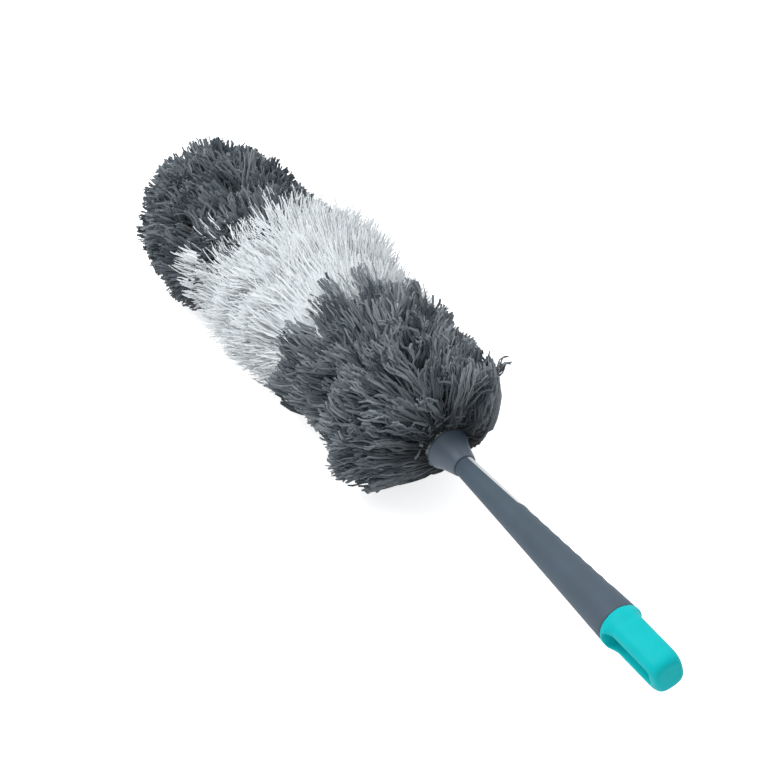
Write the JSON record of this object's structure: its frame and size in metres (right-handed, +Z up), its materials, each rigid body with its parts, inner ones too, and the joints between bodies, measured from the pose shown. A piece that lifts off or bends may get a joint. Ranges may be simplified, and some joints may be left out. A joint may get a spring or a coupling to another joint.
{
  "type": "extendable duster",
  "caption": "Hand duster with a soft cylindrical yarn head, a bell collar, a tapered telescopic grip and a slotted end cap for hanging.",
  "frame": {"origin": "centre of the bounding box in X and Y, on the surface that the duster lies on", "axes": "+X along the handle towards the hanging loop, +Y to the thumb side, +Z up"},
  "size_m": [0.761, 0.1722, 0.1567],
  "materials": {
    "core_white": "satin moulded",
    "soft_grey": "soft touch, matte",
    "collar_grey": "satin moulded",
    "turquoise": "soft touch, satin",
    "steel": "drawn, plain",
    "chrome": "polished",
    "nylon": "moulded",
    "foam": "soft, matte",
    "hem": "stitched, matte",
    "yarn_grey": "microfibre yarn, matte",
    "yarn_white": "microfibre yarn, matte"
  },
  "bodies": {
    "handle": {"handle_core": "core_white", "grip_sleeve": "soft_grey", "end_cap": "turquoise", "guide_tube": "steel", "mouth_bush": "nylon", "tube_seat": "nylon", "rear_stop": "nylon"},
    "slider": {"cam_ring": "nylon"},
    "pole": {"lock_plug": "nylon", "lock_washer": "steel", "lock_screw": "steel", "pole_tube": "chrome", "neck_collar": "collar_grey", "collar_pin": "steel", "core_tube": "core_white", "core_foam": "foam", "core_tip": "core_white", "sleeve_hem": "hem", "pile_base": "yarn_grey", "pile_middle": "yarn_white", "pile_tip": "yarn_grey"}
  },
  "joints": [
    {"name": "extension", "type": "slide", "parent": "handle", "child": "slider", "axis": [-1, 0, 0], "range_m": [0, 0.14]},
    {"name": "twist_lock", "type": "hinge", "parent": "slider", "child": "pole", "pos_m": [0.1125, 0, 0.07], "axis": [1, 0, 0], "range_deg": [0, 90]}
  ]
}
